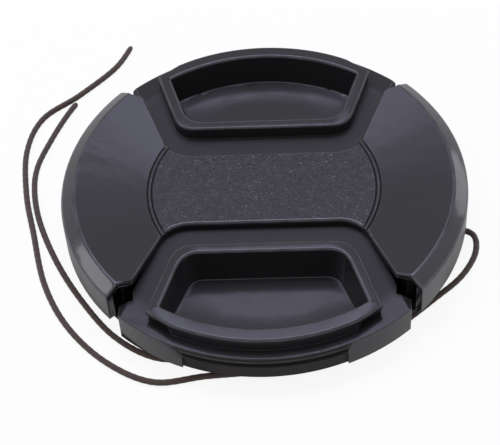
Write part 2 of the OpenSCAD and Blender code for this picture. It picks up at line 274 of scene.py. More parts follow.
# %% Braided sleeve by Geometry Nodes
STRANDS, LAY_LENGTH, STRAND_H = 4.0, 2.4 * MM, 0.025 * MM
RING_STEP, SIDES, MELTED_TIP = 0.2 * MM, 16, 0.65


def sleeve_group():
    """A tube along a line, lifted where a strand of the braid is on top and thinner at its tips."""
    group, given, result = start_group(
        "braided_sleeve", "GeometryNodeTree",
        [("Geometry", "NodeSocketGeometry", None), ("Radius", "NodeSocketFloat", CORD_D / 2 * MM),
         ("Ring Spacing", "NodeSocketFloat", RING_STEP), ("Sides", "NodeSocketInt", SIDES),
         ("Strands", "NodeSocketFloat", STRANDS), ("Lay Length", "NodeSocketFloat", LAY_LENGTH),
         ("Strand Height", "NodeSocketFloat", STRAND_H), ("Material", "NodeSocketMaterial", None)],
        [("Geometry", "NodeSocketGeometry")])
    curve = add_node(group, "GeometryNodeMeshToCurve")
    feed(group, curve.inputs["Mesh"], given["Geometry"])
    rings = add_node(group, "GeometryNodeResampleCurve", mode="LENGTH")
    feed(group, rings.inputs["Curve"], curve.outputs["Curve"])
    feed(group, rings.inputs["Length"], given["Ring Spacing"])
    spline = add_node(group, "GeometryNodeSplineParameter")
    along = add_node(group, "GeometryNodeStoreNamedAttribute", data_type="FLOAT", domain="POINT")
    feed(group, along.inputs["Geometry"], rings.outputs["Curve"])
    feed(group, along.inputs["Name"], "along")
    feed(group, along.inputs["Value"], spline.outputs["Length"])
    total = add_node(group, "GeometryNodeSplineLength")
    to_end = calc(group, "SUBTRACT", total.outputs["Length"], spline.outputs["Length"])
    to_tip = calc(group, "MINIMUM", spline.outputs["Length"], to_end)
    tip = calc(group, "MINIMUM", calc(group, "DIVIDE", to_tip, given["Radius"]), 1.0)
    melted = calc(group, "ADD", calc(group, "MULTIPLY", tip, 1 - MELTED_TIP), MELTED_TIP)
    thick = add_node(group, "GeometryNodeSetCurveRadius")
    feed(group, thick.inputs["Curve"], along.outputs["Geometry"])
    feed(group, thick.inputs["Radius"], melted)
    ring = add_node(group, "GeometryNodeCurvePrimitiveCircle")
    feed(group, ring.inputs["Resolution"], given["Sides"])
    feed(group, ring.inputs["Radius"], given["Radius"])
    around = add_node(group, "GeometryNodeStoreNamedAttribute", data_type="FLOAT", domain="POINT")
    feed(group, around.inputs["Geometry"], ring.outputs["Curve"])
    feed(group, around.inputs["Name"], "around")
    corner = add_node(group, "GeometryNodeInputIndex").outputs[0]
    share = calc(group, "DIVIDE", corner, given["Sides"])
    feed(group, around.inputs["Value"], calc(group, "MULTIPLY", share, 2 * math.pi))
    tube = add_node(group, "GeometryNodeCurveToMesh")
    feed(group, tube.inputs["Curve"], thick.outputs["Curve"])
    feed(group, tube.inputs["Profile Curve"], around.outputs["Geometry"])
    feed(group, tube.inputs["Scale"], melted)
    feed(group, tube.inputs["Fill Caps"], True)
    read = [add_node(group, "GeometryNodeInputNamedAttribute", data_type="FLOAT") for _ in range(2)]
    for node, label in zip(read, ("along", "around")):
        feed(group, node.inputs["Name"], label)
    wound = calc(group, "MULTIPLY", read[0].outputs[0], 2 * math.pi)
    wound = calc(group, "DIVIDE", wound, given["Lay Length"])
    circled = calc(group, "MULTIPLY", read[1].outputs[0], given["Strands"])
    left = calc(group, "COSINE", calc(group, "ADD", circled, wound))
    right = calc(group, "COSINE", calc(group, "SUBTRACT", circled, wound))
    lift = calc(group, "MULTIPLY", calc(group, "MULTIPLY", left, right), given["Strand Height"])
    push = add_node(group, "ShaderNodeVectorMath", operation="SCALE")
    feed(group, push.inputs[0], add_node(group, "GeometryNodeInputNormal").outputs[0])
    feed(group, push.inputs["Scale"], lift)
    woven = add_node(group, "GeometryNodeSetPosition")
    feed(group, woven.inputs["Geometry"], tube.outputs["Mesh"])
    feed(group, woven.inputs["Offset"], push.outputs[0])
    end_group(group, woven.outputs["Geometry"], given["Material"], result["Geometry"])
    return group


braided_sleeve = sleeve_group()
print("nodes in the sleeve tree:", len(braided_sleeve.nodes))

# %% Group: fibres of a braid
FIBRES, FIBRE_H, GAP_EDGE, DYE_PATCH = 5.0, 0.15, 5.0, 1.5 * MM


def braid_group():
    """The fibres of a braid from its length and angle: a height, the gaps, and uneven dye."""
    group, given, result = start_group(
        "braid", "ShaderNodeTree",
        [("Vector", "NodeSocketVector", None), ("Along", "NodeSocketFloat", 0.0),
         ("Around", "NodeSocketFloat", 0.0), ("Strands", "NodeSocketFloat", STRANDS),
         ("Lay Length", "NodeSocketFloat", LAY_LENGTH)],
        [("Height", "NodeSocketFloat"), ("Gap", "NodeSocketFloat"), ("Dye", "NodeSocketFloat")])
    wound = calc(group, "MULTIPLY", given["Along"], 2 * math.pi)
    wound = calc(group, "DIVIDE", wound, given["Lay Length"])
    circled = calc(group, "MULTIPLY", given["Around"], given["Strands"])
    left, right = calc(group, "ADD", circled, wound), calc(group, "SUBTRACT", circled, wound)
    crossing = calc(group, "MULTIPLY", calc(group, "COSINE", left), calc(group, "COSINE", right))
    on_top = calc(group, "GREATER_THAN", crossing, 0.0)
    fibres = [calc(group, "SINE", calc(group, "MULTIPLY", turn, FIBRES)) for turn in (left, right)]
    shown = add_node(group, "ShaderNodeMix", data_type="FLOAT")
    feed(group, shown.inputs[0], on_top)
    feed(group, shown.inputs[2], fibres[0])
    feed(group, shown.inputs[3], fibres[1])
    size = calc(group, "ABSOLUTE", crossing)
    fine = calc(group, "MULTIPLY", shown.outputs[0], FIBRE_H)
    feed(group, result["Height"], calc(group, "ADD", calc(group, "POWER", size, 0.5), fine))
    strand = calc(group, "MINIMUM", calc(group, "MULTIPLY", size, GAP_EDGE), 1.0)
    feed(group, result["Gap"], calc(group, "SUBTRACT", 1.0, strand))
    dye = add_node(group, "ShaderNodeTexNoise")
    feed(group, dye.inputs["Vector"], given["Vector"])
    feed(group, dye.inputs["Scale"], 1 / DYE_PATCH)
    feed(group, dye.inputs["Detail"], 4.0)
    feed(group, result["Dye"], dye.outputs["Fac"])
    return group


braid = braid_group()
print("group", braid.name)

# %% Cord material and the cord
CORD_BROWN, CORD_LIGHT = (0.042, 0.026, 0.022, 1), (0.085, 0.053, 0.043, 1)
CORD_GAP_SHADE, GAP_SHADE = (0.008, 0.006, 0.005, 1), 0.7


def cord_fibre():
    """Dull brown fibre, with painted shade that darkens the gaps of the braid."""
    material, tree, shader, place = new_material("braided_cord", 0.25)
    along = add_node(tree, "ShaderNodeAttribute", attribute_name="along").outputs["Fac"]
    around = add_node(tree, "ShaderNodeAttribute", attribute_name="around").outputs["Fac"]
    weave = use_group(tree, braid, Vector=place, Along=along, Around=around)
    dyed = mix_colour(tree, weave.outputs["Dye"], CORD_BROWN, CORD_LIGHT)
    # Painted shade: the gaps of the braid are mixed towards a near-black brown.
    shaded = calc(tree, "MULTIPLY", weave.outputs["Gap"], GAP_SHADE)
    feed(tree, shader.inputs["Base Color"], mix_colour(tree, shaded, dyed, CORD_GAP_SHADE))
    feed(tree, shader.inputs["Roughness"], spread(tree, weave.outputs["Dye"], 0.55, 0.8))
    feed(tree, shader.inputs["Normal"], bump(tree, weave.outputs["Height"], 0.03 * MM, 0.6))
    shader.inputs["Sheen Weight"].default_value = 0.3
    shader.inputs["Sheen Roughness"].default_value = 0.5
    return material


cord = apply_nodes("braided_cord", braided_sleeve, {
    "Radius": CORD_D / 2 * MM, "Ring Spacing": RING_STEP, "Sides": SIDES, "Strands": STRANDS,
    "Lay Length": LAY_LENGTH, "Strand Height": STRAND_H, "Material": cord_fibre()}, line=cord_path)
smooth_outward(cord.data)
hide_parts("cord")
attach(cord, "cap")
print("cord faces", len(cord.data.polygons))

# %% [markdown]
# ## Shader groups
# Moulded plastic has a faint texture from the tool and a leather-like grain on the panel, and
# its outer edges carry a painted highlight, a lighter colour that comes with a lower roughness.
# These effects are needed in several materials with other values, so each is a group that gives
# out only heights and masks. The shaders stay in the materials.

# %% Group: texture of a moulding tool
WAVE_SIZE = 9 * MM


def mould_texture_group():
    """Soft waves from shrinkage and a fine tool texture. Size is the width of the fine bumps."""
    group, given, result = start_group(
        "mould_texture", "ShaderNodeTree",
        [("Vector", "NodeSocketVector", None), ("Size", "NodeSocketFloat", 0.2 * MM)],
        [("Fine", "NodeSocketFloat"), ("Smears", "NodeSocketFloat")])
    fine = add_node(group, "ShaderNodeTexNoise")
    feed(group, fine.inputs["Vector"], given["Vector"])
    feed(group, fine.inputs["Scale"], calc(group, "DIVIDE", 1.0, given["Size"]))
    feed(group, fine.inputs["Detail"], 2.0)
    feed(group, result["Fine"], fine.outputs["Fac"])
    smears = add_node(group, "ShaderNodeTexNoise")
    feed(group, smears.inputs["Vector"], given["Vector"])
    feed(group, smears.inputs["Scale"], 1 / WAVE_SIZE)
    feed(group, smears.inputs["Detail"], 4.0)
    feed(group, smears.inputs["Distortion"], 0.8)
    feed(group, result["Smears"], smears.outputs["Fac"])
    return group


mould_texture = mould_texture_group()
print("group", mould_texture.name)

# %% Group: leather-like grain of the panel
CREASE_W, PEBBLE_EDGE, PEBBLE_H = 0.12, 0.3, 0.125


def leather_grain_group():
    """Rounded pebbles with creases between them, bent by noise so that no row shows."""
    group, given, result = start_group(
        "leather_grain", "ShaderNodeTree",
        [("Vector", "NodeSocketVector", None), ("Pebble", "NodeSocketFloat", 0.6 * MM)],
        [("Height", "NodeSocketFloat"), ("Crease", "NodeSocketFloat")])
    bend = add_node(group, "ShaderNodeTexNoise")
    feed(group, bend.inputs["Vector"], given["Vector"])
    feed(group, bend.inputs["Scale"], calc(group, "DIVIDE", 0.5, given["Pebble"]))
    shift = add_node(group, "ShaderNodeVectorMath", operation="SCALE")
    feed(group, shift.inputs[0], bend.outputs["Color"])
    feed(group, shift.inputs["Scale"], given["Pebble"])
    moved = calc(group, "ADD", given["Vector"], shift.outputs[0], kind="ShaderNodeVectorMath")
    pebbles = add_node(group, "ShaderNodeTexVoronoi", feature="DISTANCE_TO_EDGE")
    feed(group, pebbles.inputs["Vector"], moved)
    feed(group, pebbles.inputs["Scale"], calc(group, "DIVIDE", 1.0, given["Pebble"]))
    height = add_node(group, "ShaderNodeMapRange", interpolation_type="SMOOTHSTEP")
    feed(group, height.inputs["Value"], pebbles.outputs["Distance"])
    feed(group, height.inputs["From Max"], PEBBLE_EDGE)
    feed(group, result["Height"], height.outputs["Result"])
    crease = add_node(group, "ShaderNodeMapRange")
    feed(group, crease.inputs["Value"], pebbles.outputs["Distance"])
    feed(group, crease.inputs["From Max"], CREASE_W)
    feed(group, crease.inputs["To Min"], 1.0)
    feed(group, crease.inputs["To Max"], 0.0)
    feed(group, result["Crease"], crease.outputs["Result"])
    return group


leather_grain = leather_grain_group()
print("group", leather_grain.name)

# %% Group: painted highlight and polish along the edges, and dust
HIGHLIGHT_AND_POLISH_PATCH = 2.5 * MM


def edge_highlight_and_polish_group():
    """A mask of the rounded edges, broken up by noise, which carries the painted edge highlight
    and the polish, and a mask of fine dust specks.
    """
    group, given, result = start_group(
        "edge_highlight_and_polish", "ShaderNodeTree",
        [("Vector", "NodeSocketVector", None), ("Edge", "NodeSocketFloat", 0.0),
         ("Speck Size", "NodeSocketFloat", 0.5 * MM)],
        [("Highlight And Polish", "NodeSocketFloat"), ("Dust", "NodeSocketFloat")])
    breaks = add_node(group, "ShaderNodeTexNoise")
    feed(group, breaks.inputs["Vector"], given["Vector"])
    feed(group, breaks.inputs["Scale"], 1 / HIGHLIGHT_AND_POLISH_PATCH)
    feed(group, breaks.inputs["Detail"], 3.0)
    # The edge mask, broken into patches, sets where the highlight is painted and the edge polished.
    worn = add_node(group, "ShaderNodeMapRange")
    feed(group, worn.inputs["Value"], breaks.outputs["Fac"])
    feed(group, worn.inputs["From Min"], 0.1)
    feed(group, worn.inputs["From Max"], 0.6)
    feed(group, result["Highlight And Polish"], calc(group, "MULTIPLY", given["Edge"], worn.outputs["Result"]))
    specks = add_node(group, "ShaderNodeTexVoronoi")
    feed(group, specks.inputs["Vector"], given["Vector"])
    feed(group, specks.inputs["Scale"], calc(group, "DIVIDE", 1.0, given["Speck Size"]))
    dust = add_node(group, "ShaderNodeMapRange")
    feed(group, dust.inputs["Value"], specks.outputs["Distance"])
    feed(group, dust.inputs["From Min"], 0.06)
    feed(group, dust.inputs["From Max"], 0.1)
    feed(group, dust.inputs["To Min"], 1.0)
    feed(group, dust.inputs["To Max"], 0.0)
    feed(group, result["Dust"], dust.outputs["Result"])
    return group


edge_highlight_and_polish = edge_highlight_and_polish_group()
print("group", edge_highlight_and_polish.name)

# %% [markdown]
# ## Plastic
# The cap is moulded in black plastic with a satin polish. It is nearly black in itself, and what
# is seen on it is mostly reflected light, so the base colour is very dark and the roughness does
# the work. The panel is the same plastic with a grain, the bevel is the glossiest part, the plate
# is dull where it slides under the wings, and the skirt, the ribs and the rear cover are matte.
# The skirt is also painted lighter, a painted reflection of the white floor, and the ribs are a
# duller brown-grey copy of the plastic, which stands in for the shade on the catch wall.

# %% Plastic materials
SHEEN_TINT, DUST_GREY, EDGE_HIGHLIGHT_GREY = (0.92, 0.91, 1), (0.05, 0.05, 0.052, 1), (0.1, 0.098, 0.11, 1)
SMEAR, DUSTY, EDGE_HIGHLIGHT, POLISH = 0.35, 0.35, 0.5, 0.05
SINK, UNEVEN, SLIDE_DULL, SLIDE_FADE, CREASE_DULL = 0.06 * MM, 0.035, 0.36, 1 * MM, 0.15


def plastic(name, colour, dull, roughness, fine_size, fine_depth, specular=0.27, pebble=None,
            slide=None):
    """Moulded plastic. dull is its colour in smears, and its outer edges carry a painted
    highlight, a lighter grey.
    pebble is the size of a grain, and slide the radius inside which the surface is scuffed."""
    material, tree, shader, place = new_material(name, specular, tint=SHEEN_TINT)
    tool = use_group(tree, mould_texture, Vector=place, Size=fine_size)
    edge = add_node(tree, "ShaderNodeAttribute", attribute_name="edge")
    edge_marks = use_group(tree, edge_highlight_and_polish, Vector=place, Edge=edge.outputs["Fac"])
    smears = spread(tree, tool.outputs["Smears"], 0.0, SMEAR)
    lightest = mix_colour(tree, smears, (*colour, 1), (*dull, 1))
    dusty = calc(tree, "MULTIPLY", edge_marks.outputs["Dust"], DUSTY)
    colour_under = mix_colour(tree, dusty, lightest, DUST_GREY)
    # Painted highlight: the outer edges are mixed towards a lighter grey.
    highlighted = calc(tree, "MULTIPLY", edge_marks.outputs["Highlight And Polish"], EDGE_HIGHLIGHT)
    feed(tree, shader.inputs["Base Color"], mix_colour(tree, highlighted, colour_under, EDGE_HIGHLIGHT_GREY))
    rough = spread(tree, tool.outputs["Smears"], roughness - UNEVEN, roughness + UNEVEN)
    polished = calc(tree, "MULTIPLY", edge_marks.outputs["Highlight And Polish"], POLISH)
    normal = bump(tree, tool.outputs["Smears"], SINK, 1.0)
    normal = bump(tree, tool.outputs["Fine"], fine_depth, 0.5, normal)
    if slide:
        flat = calc(tree, "MULTIPLY", place, (1, 1, 0), kind="ShaderNodeVectorMath")
        length = add_node(tree, "ShaderNodeVectorMath", operation="LENGTH")
        feed(tree, length.inputs[0], flat)
        worn = add_node(tree, "ShaderNodeMapRange", interpolation_type="SMOOTHSTEP")
        feed(tree, worn.inputs["Value"], length.outputs["Value"])
        feed(tree, worn.inputs["From Min"], slide - SLIDE_FADE)
        feed(tree, worn.inputs["From Max"], slide + SLIDE_FADE)
        feed(tree, worn.inputs["To Min"], SLIDE_DULL)
        feed(tree, worn.inputs["To Max"], 0.0)
        rough = calc(tree, "ADD", rough, worn.outputs["Result"])
    if pebble:
        grain = use_group(tree, leather_grain, Vector=place, Pebble=pebble)
        normal = bump(tree, grain.outputs["Height"], pebble * PEBBLE_H, 1.0, normal)
        creased = calc(tree, "MULTIPLY", grain.outputs["Crease"], CREASE_DULL)
        rough = calc(tree, "ADD", rough, creased)
    feed(tree, shader.inputs["Roughness"], calc(tree, "SUBTRACT", rough, polished))
    feed(tree, shader.inputs["Normal"], normal)
    return material


BLACK, BLACK_DULL = (0.0175, 0.017, 0.0187), (0.023, 0.022, 0.024)
shell_plastic = plastic("satin_plastic", BLACK, BLACK_DULL, 0.18, 0.25 * MM, 0.004 * MM)
panel_plastic = plastic("grained_panel_plastic", BLACK, BLACK_DULL, 0.33, 0.25 * MM, 0.004 * MM,
                        pebble=0.55 * MM)
# Painted reflection: the skirt's lighter colour stands in for the white floor that it reflects.
skirt_plastic = plastic("scuffed_skirt_plastic_painted_lighter", (0.045, 0.044, 0.045), (0.07, 0.068, 0.068),
                        0.42, 0.2 * MM, 0.01 * MM, specular=0.45)
rim_plastic = plastic("glossy_rim_plastic", BLACK, BLACK_DULL, 0.12, 0.25 * MM, 0.003 * MM,
                      specular=0.6)
lever_plastic = plastic("lever_plastic", BLACK, BLACK_DULL, 0.19, 0.25 * MM, 0.003 * MM)
slide_plastic = plastic("slide_face_plastic", BLACK, BLACK_DULL, 0.17, 0.2 * MM, 0.006 * MM,
                        specular=0.2, slide=27 * MM)
# Painted shade: the catch wall gets a duller, brown-grey copy of the black plastic.
rib_plastic_painted_shade = plastic("matte_rib_plastic_painted_shade", (0.036, 0.0325, 0.031), (0.042, 0.038, 0.036), 0.55,
                      0.15 * MM, 0.008 * MM, specular=0.06)
cover_plastic = plastic("matte_cover_plastic", (0.014, 0.014, 0.015), (0.02, 0.02, 0.021),
                        0.42, 0.18 * MM, 0.02 * MM, specular=0.3)
plastics = (shell_plastic, panel_plastic, skirt_plastic, rim_plastic, lever_plastic, slide_plastic,
            rib_plastic_painted_shade, cover_plastic)
print("plastics:", [material.name for material in plastics])

# %% [markdown]
# ## Rounded mouldings
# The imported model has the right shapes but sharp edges, and a moulded part never has one. The
# edges could be modelled round one by one, but a bevel does it evenly: each solid is copied, its
# flat faces are made whole again, every sharp edge is given the radius of its place, and the
# bevel follows those weights. The copy then stands for the solid, and each of its faces gets the
# finish of its place.

# %% Rounding a moulding
WIDEST = 0.6 * MM
SHARP, FLAT = math.radians(22), math.radians(0.3)
MERGE, SLIVER, SHORTEST, CUT_REACH = 0.001, 0.01, 0.07, 0.04


def whole_faces(mesh, cuts):
    """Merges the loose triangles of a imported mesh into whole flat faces. A flat face round a hole
    is kept in two parts by a cut at each x in cuts, because a face can't hold a hole."""
    bm = bmesh.new()
    bm.from_mesh(mesh)
    bmesh.ops.remove_doubles(bm, verts=bm.verts, dist=MERGE * MM)
    short = [edge for edge in bm.edges if edge.calc_length() < SHORTEST * MM]
    bmesh.ops.collapse(bm, edges=short, uvs=False)
    bmesh.ops.dissolve_degenerate(bm, edges=bm.edges, dist=SLIVER * MM)
    for x in cuts:
        bmesh.ops.bisect_plane(bm, geom=bm.verts[:] + bm.edges[:] + bm.faces[:],
                               dist=CUT_REACH * MM, plane_co=(x * MM, 0, 0), plane_no=(1, 0, 0))
    kept = {edge for edge in bm.edges for x in cuts
            if all(abs(v.co.x / MM - x) < CUT_REACH + MERGE for v in edge.verts)}
    loose = [edge for edge in bm.edges if edge not in kept]
    bmesh.ops.dissolve_limit(bm, angle_limit=FLAT, verts=bm.verts, edges=loose)
    bm.normal_update()
    holed = sum(1 for face in bm.faces if len(set(face.verts)) < len(face.verts)
                or any(e.link_faces[0] is e.link_faces[-1] for e in face.edges))
    return bm, len(short), holed


def mark_outer_edges(mesh):
    """Gives the attribute edge 1 on the rounded faces that stand out, and 0 on all others. The
    materials use it for the painted edge highlight and the polish.
    """
    beside = {}
    for face in mesh.polygons:
        for key in face.edge_keys:
            beside.setdefault(key, []).append(face)
    mask = mesh.attributes.new("edge", "FLOAT", "FACE")
    for face in mesh.polygons:
        near = [other for key in face.edge_keys for other in beside[key] if other != face]
        lift = sum((other.center - face.center).normalized().dot(face.normal) for other in near)
        outer = face.material_index == 1 and lift < 0
        mask.data[face.index].value = 1.0 if outer else 0.0


def moulded(node, body, materials, radius_at, cuts=(0,), segments=3, pick=None, shape=None):
    """A rounded copy of a solid. radius_at gives the radius of an edge from its middle and from
    whether it is hollow, shape changes the sharp copy, and pick sorts the faces into materials."""
    mesh = nodes[node].data.copy()
    bm, collapsed, holed = whole_faces(mesh, cuts)
    if shape:
        shape(bm)
    weights = bm.edges.layers.float.new("bevel_weight_edge")
    sharp = 0
    for edge in bm.edges:
        if len(edge.link_faces) == 2 and edge.calc_face_angle(0) > SHARP:
            middle = (edge.verts[0].co + edge.verts[1].co) / 2 / MM
            hollow = edge.calc_face_angle_signed(0) < 0
            edge[weights] = radius_at(middle, hollow) * MM / WIDEST
            sharp += 1
    open_edges = sum(1 for edge in bm.edges if len(edge.link_faces) != 2)
    for face in bm.faces:
        face.smooth = True
        face.material_index = 0
    bm.to_mesh(mesh)
    bm.free()
    raw = bpy.data.objects.new(node + "_raw", mesh)
    bpy.context.scene.collection.objects.link(raw)
    # The bevel marks its faces with a second slot, and mark_outer_edges reads that.
    mesh.materials.clear()
    mesh.materials.append(materials[0])
    mesh.materials.append(materials[0])
    bevel = raw.modifiers.new("round", "BEVEL")
    bevel.limit_method = "WEIGHT"
    bevel.width = WIDEST
    bevel.segments = segments
    bevel.miter_outer = "MITER_ARC"
    bevel.use_clamp_overlap = False
    bevel.material = 1
    raw.modifiers.new("shade", "WEIGHTED_NORMAL").keep_sharp = True
    evaluated = raw.evaluated_get(bpy.context.evaluated_depsgraph_get())
    final = bpy.data.meshes.new_from_object(evaluated)
    bpy.data.objects.remove(raw)
    mark_outer_edges(final)
    final.materials.clear()
    for material in materials:
        final.materials.append(material)
    for face in final.polygons:
        face.material_index = pick(face.center / MM) if pick else 0
    shares = [sum(1 for face in final.polygons if face.material_index == i)
              for i in range(len(materials))]
    piece = bpy.data.objects.new("moulded_" + node, final)
    bpy.context.scene.collection.objects.link(piece)
    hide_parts(node)
    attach(piece, body)
    print(piece.name, "faces", len(final.polygons), "sharp edges", sharp, "open", open_edges,
          "collapsed", collapsed, "holed", holed, "faces in each finish", shares)


print("rounding ready, widest radius", round(WIDEST / MM, 2), "mm")

# %% [markdown]
# ## Front shell
# One moulding makes the skirt, the bevel, the two dished wings and the panel. The long edges of
# the panel are softer than the rest, the wings and the bevel meet in a fine bright ridge that
# carries the painted edge highlight, and the flat of the panel has the leather-like grain. The
# bevel is glossy, and the skirt below it is rougher, scuffed by the threads that it has been
# pushed into, and painted lighter as a painted reflection of the white floor.

# %% Front shell
RING_Z, RIDGE_R, RIDGE_Z, RIM_R, BREAK_Z, SKIRT_Z = 7.35, 28.3, 8.95, 30.4, 7.7, 2.5
GROOVE_IN, GROOVE_OUT, GROOVE_Z, SKIRT_R = 16.6, 17.8, 6.9, 29
PANEL_R, PANEL_HALF_W, GRAIN_R, NEAR = 16.9, 9, 16.68, 0.1


def shell_radius(p, hollow):
    """Fine in the grooves, softest along the panel, and small where the shell is out of sight."""
    r = math.hypot(p.x, p.y)
    if hollow or (GROOVE_IN < r < GROOVE_OUT and p.z > GROOVE_Z):
        return 0.05
    if p.z > RING_Z - NEAR and r < PANEL_R and abs(p.y) < PANEL_HALF_W:
        return 0.45
    if abs(p.z - BREAK_Z) < NEAR and r > RIM_R - NEAR:
        return 0.35
    if p.z > RING_Z - NEAR:
        return 0.3
    return 0.15 if p.z < SKIRT_Z + NEAR and r > SKIRT_R else 0.08


def shell_finish(p):
    """0 is the satin plastic, 1 the grained panel, 2 the scuffed skirt, which is painted lighter as
    a painted reflection of the floor, and 3 the glossy bevel.
    """
    r = math.hypot(p.x, p.y)
    if p.z > RING_Z - 0.02 and r < GRAIN_R:
        return 1
    if r > RIDGE_R + 0.2 and BREAK_Z - NEAR < p.z < RIDGE_Z - 0.05:
        return 3
    return 2 if r > RIM_R - 0.35 and p.z < BREAK_Z - NEAR else 0


moulded("front_shell", "cap", [shell_plastic, panel_plastic, skirt_plastic, rim_plastic],
        shell_radius, pick=shell_finish)

# %% [markdown]
# ## Levers
# Each lever is a sliding plate with two arms that pass under the wings, a finger well with a lip,
# and a curved outer wall with catch ribs, which is matte, in a duller brown-grey copy of the
# plastic that stands in for the shade on it. The lip is the softest edge, because a finger pulls
# on it, and the floor of the well is dished and meets its walls in a small hollow radius. Both
# sides of the lip slope down away from the well, so they look darker than its front, with a fine
# bright ridge that also carries the painted edge highlight.

# %% Dished floor of a finger well
LIP_Z, PLATE_Z, WELL_Z, WELL_MIDDLE, WELL_R, HORN_R = 8.2, 6.0, 3.1, 19.0, 27, 30
DISH_R, DISH_SLOPE = 20.8, 0.06
STRIP_START, STRIP_STEP, STRIPS, COLUMNS = 4, 0.4, 22, (-12, -9, -6, -3, 3, 6, 9, 12)


def level_faces(bm, z):
    """The faces that look up at a height in millimetres."""
    return [face for face in bm.faces
            if face.normal.z > 0.9 and abs(face.calc_center_median().z / MM - z) < 0.01]


def in_order(elements):
    """Each element once and in a fixed order, which a set doesn't keep from run to run."""
    return list(dict.fromkeys(elements))


def dish_floor(bm):
    """Lets the floor of the finger well rise a little, in a smooth curve, to its outer wall."""
    def floor_parts():
        faces = level_faces(bm, WELL_Z)
        return (faces + in_order(edge for face in faces for edge in face.edges)
                + in_order(vert for face in faces for vert in face.verts))
    strips = [(0, DISH_R - STRIP_START + STRIP_STEP * i) for i in range(STRIPS)]
    for x, y in strips + [(x, 0) for x in COLUMNS]:
        for side in (-1, 1):
            if y or side > 0:
                bmesh.ops.bisect_plane(bm, geom=floor_parts(), dist=0.03 * MM,
                                       plane_co=(x * MM, side * y * MM, 0),
                                       plane_no=(0, 1, 0) if y else (1, 0, 0))
    lifted = [v for v in floor_parts() if isinstance(v, bmesh.types.BMVert)]
    for vert in lifted:
        beyond = max(0.0, math.hypot(vert.co.x, vert.co.y) / MM - DISH_R)
        vert.co.z += DISH_SLOPE / 2 * beyond ** 2 / 2 * MM
    bm.normal_update()
    print("floor of the well:", len(lifted), "points, highest",
          round(max(v.co.z for v in lifted) / MM, 2), "mm")


print("dish from", DISH_R, "mm outwards")

# %% Sloping sides of a lip
LEAN_DROP, LEAN_X, LEAN_TURN, LEAN_Y = 0.25, 10.2, 3.5, 23.5
FRONT_X, CORNER_X = 8.5, 16.77
UPRIGHT, AWAY = 0.8, -0.2


def lean_lip(bm):
    """Lets both sides of the lip slope down away from the well, and fades that at each corner."""
    top = level_faces(bm, LIP_Z)
    outer = set()
    for vert in {v for face in top for v in face.verts}:
        x, y = vert.co.x / MM, vert.co.y / MM
        to_middle = Vector((-x, math.copysign(WELL_MIDDLE, y) - y, 0)).normalized()
        if any(abs(face.normal.z) < UPRIGHT and face.normal.dot(to_middle) < AWAY
               for face in vert.link_faces):
            outer.add(vert)
    before = {edge for face in top for edge in face.edges}
    made = bmesh.ops.triangulate(bm, faces=top)["faces"]
    for vert in outer:
        x, y = abs(vert.co.x) / MM, abs(vert.co.y) / MM
        if y < LEAN_Y:
            share = min(max((x - LEAN_X) / LEAN_TURN, 0.0), 1.0)
        else:
            share = max((x - FRONT_X) / (CORNER_X - FRONT_X), 0.0) ** 2
        vert.co.z -= LEAN_DROP * share * MM
    inside = [edge for edge in in_order(edge for face in made for edge in face.edges)
              if edge not in before]
    bmesh.ops.dissolve_limit(bm, angle_limit=FLAT, verts=[], edges=inside)
    bm.normal_update()
    print("lip:", len(outer), "points on its outer edge")


print("lip's slope", LEAN_DROP, "mm at most")

# %% Levers
CATCH_R, CATCH_HALF_W = 28.6, 11.8


def lever_shape(bm):
    """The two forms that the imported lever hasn't."""
    dish_floor(bm)
    lean_lip(bm)


def lever_radius(p, hollow):
    """Softest on the lip, small in the hollows and along the plate."""
    r = math.hypot(p.x, p.y)
    if p.z > LIP_Z - LEAN_DROP - NEAR:
        return 0.35
    if hollow:
        return 0.15 if abs(p.z - WELL_Z) < 0.4 and r < WELL_R else 0.08
    if abs(p.z - PLATE_Z) < NEAR:
        return 0.2 if r > HORN_R else 0.12
    return 0.1


def lever_finish(p):
    """0 is the glossy plastic, 1 the top of the plate, which slides, and 2 the catch wall, whose
    plastic is a copy in painted shade.
    """
    if abs(p.z - PLATE_Z) < 0.03:
        return 1
    outside = p.z < PLATE_Z and math.hypot(p.x, p.y) > CATCH_R
    return 2 if outside and abs(p.x) < CATCH_HALF_W else 0


for node, body in (("lever_near", "near_lever"), ("lever_far", "far_lever")):
    moulded(node, body, [lever_plastic, slide_plastic, rib_plastic_painted_shade], lever_radius,
            cuts=(-7, 0, 7), shape=lever_shape, pick=lever_finish)

# %% [markdown]
# ## Rear cover
# A flat disc closes the back, with a low ring that the cap stands on. Little of it is seen in use,
# so it keeps plain matte faces and only small radii. Thin tabs at its four ends close the view
# through the notches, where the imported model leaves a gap.

# %% Rear cover
TAB_X, TAB_Y, TAB_R, TAB_LOW, TAB_HIGH, TAB_STEPS = 21.05, 17.8, 29.05, 1.1, 1.6, 4
COVER_RADIUS = 0.12


def end_tabs(bm):
    """Thin tabs at the four ends of the disc's sides, which close the view through the notches."""
    first = math.asin(TAB_Y / TAB_R)
    last = math.acos(TAB_X / TAB_R)
    turns = [first + (last - first) * i / TAB_STEPS for i in range(TAB_STEPS + 1)]
    outline = [(TAB_X, TAB_Y)] + [(TAB_R * math.cos(a), TAB_R * math.sin(a)) for a in turns]
    for side in (-1, 1):
        for end in (-1, 1):
            low = [bm.verts.new((side * x * MM, end * y * MM, TAB_LOW * MM)) for x, y in outline]
            high = [bm.verts.new((v.co.x, v.co.y, TAB_HIGH * MM)) for v in low]
            faces = [bm.faces.new(low), bm.faces.new(high)]
            for i in range(len(outline)):
                faces.append(bm.faces.new((low[i - 1], low[i], high[i], high[i - 1])))
            bmesh.ops.recalc_face_normals(bm, faces=faces)
    bm.normal_update()


moulded("rear_cover", "cap", [cover_plastic], lambda p, hollow: COVER_RADIUS,
        segments=2, shape=end_tabs)

